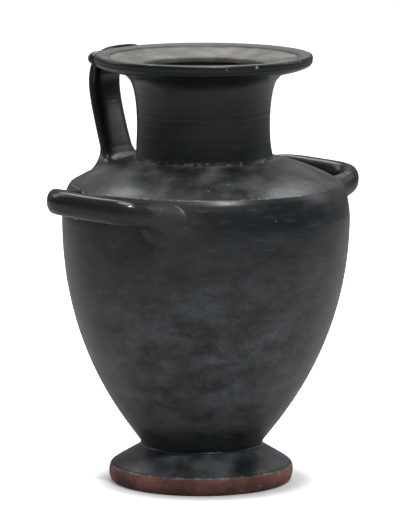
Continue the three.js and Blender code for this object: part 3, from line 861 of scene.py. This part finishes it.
# %% Finish and place
for piece, finish, slot_name, nodes in (
    (body, gloss, "black_gloss", ["body"]),
    (neck, neck_gloss, "black_gloss", ["neck"]),
    (mouth, mouth_gloss, "black_gloss", ["mouth"]),
    (bead, gloss, "black_gloss", ["foot_join_ring"]),
    (foot, foot_clay, "foot_clay", ["foot"]),
):
    piece.data.materials.append(finish)
    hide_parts(*nodes)
    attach(piece, "root")
for piece in handle_pieces:
    piece.data.materials.append(gloss if piece.name.endswith("front_smear") else handle_gloss)
    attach(piece, "root")
for node_name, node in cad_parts.items():
    node.data.materials.clear()
    node.data.materials.append(foot_clay if node_name == "foot" else gloss)
print("pieces:", 5 + len(handle_pieces))

# %% [markdown]
# The stage is a white sheet. Seen by the camera it is plain white further out, and close to the foot its
# glow is turned down, a painted contact shadow over its real shadow. The jar itself sees a dimmer sheet,
# so that its gloss stays black.

# %% Stage
STAGE_RADIUS = 14
FLOOR_WHITE = 0.80
FLOOR_DIM = 0.42
PAINTED_SHADOW_GLOW = 0.10
FAR_GLOW = 1.0
GLOW_START = 67
GLOW_END = 100


def stage_finish():
    f = Finish("white_sheet")
    seen = f.node("ShaderNodeLightPath", output="Is Camera Ray")
    sheet = f.mix(seen, (FLOOR_DIM,) * 3 + (1,), (FLOOR_WHITE,) * 3 + (1,))
    diffuse = f.node("ShaderNodeBsdfDiffuse", values={"Color": sheet})
    away = f.node("ShaderNodeVectorMath", {"operation": "LENGTH"}, {0: f.here}, 1)
    # Painted contact shadow: the glow is low near the jar's axis and rises to full between GLOW_START and
    # GLOW_END.
    glow_share = f.step(away, GLOW_START * MM, GLOW_END * MM)
    strength = seen * (PAINTED_SHADOW_GLOW + (FAR_GLOW - PAINTED_SHADOW_GLOW) * glow_share)
    glow = f.node("ShaderNodeEmission", values={"Color": (1, 1, 1, 1), "Strength": strength})
    return f.done(f.node("ShaderNodeAddShader", values={0: diffuse, 1: glow}))


bpy.ops.object.select_all(action="DESELECT")
bpy.ops.mesh.primitive_circle_add(vertices=64, radius=STAGE_RADIUS, fill_type="NGON", location=(0, 0, 0))
floor = bpy.context.object
floor.name = "floor_sheet"
floor.data.materials.append(stage_finish())

# %% [markdown]
# The lamps are soft boxes around the jar. The ones behind it light the shoulder and the lip's top, the
# ones at the sides light the edges, and the small one over the camera gives the sharp lights.

# %% Lamps
right = Vector((math.cos(CAMERA_AZIMUTH), math.sin(CAMERA_AZIMUTH), 0))
front = Vector((math.sin(CAMERA_AZIMUTH), -math.cos(CAMERA_AZIMUTH), 0))
up = Vector((0, 0, 1))
jar_middle = Vector((0, 0, 180 * MM))


def add_lamp(name, sideways, forward, height, width, tall, watts):
    """A soft box that looks at the jar's middle."""
    spot = jar_middle + right * sideways + front * forward + up * height
    bpy.ops.object.light_add(type="AREA", location=spot)
    lamp = bpy.context.object
    lamp.name = name
    lamp.rotation_euler = (spot - jar_middle).to_track_quat("Z", "Y").to_euler()
    lamp.data.shape = "RECTANGLE"
    lamp.data.size = width
    lamp.data.size_y = tall
    lamp.data.energy = watts
    return lamp


add_lamp("left_box", -1.5, -0.6, 0.9, 0.5, 1.0, 3)
add_lamp("right_box", 1.5, -0.5, 0.9, 0.6, 1.0, 3)
add_lamp("front_spot", 0.55, 1.5, 2.0, 0.18, 0.18, 24)
add_lamp("back_strip", 0.10, -1.25, 1.55, 0.08, 0.8, 5)
add_lamp("back_box", 0.0, -1.0, 1.7, 2.6, 0.7, 24)
add_lamp("top_box", 0.0, 0.3, 2.0, 1.0, 1.0, 20)

# %% [markdown]
# The room is white behind the jar and dim behind the camera, as in a studio with a white backdrop. A
# gloss shows this: its edges catch the white, and its front stays black.

# %% Room
DIM_ROOM = 0.09
WHITE_ROOM = 0.22
DIM_FROM = 0.05
WHITE_FROM = -0.75

world = bpy.data.worlds.new("white_room")
bpy.context.scene.world = world
room = Sums(world)
way = room.node("ShaderNodeTexCoord", output="Generated")
ahead = room.node("ShaderNodeVectorMath", {"operation": "DOT_PRODUCT"}, {0: way, 1: front}, 1)
dim_side = room.step(ahead, WHITE_FROM, DIM_FROM)
light = WHITE_ROOM + (DIM_ROOM - WHITE_ROOM) * dim_side
camera_ray = room.node("ShaderNodeLightPath", output="Is Camera Ray")
strength = room.math("MAXIMUM", light, camera_ray)
background = room.node("ShaderNodeBackground", values={"Color": (1, 1, 1, 1), "Strength": strength})
room.end_in("ShaderNodeOutputWorld", background)

bpy.context.scene.view_settings.view_transform = "Standard"

# %% [markdown]
# Last, the view layer is brought up to date.

# %% Update
bpy.context.view_layer.update()
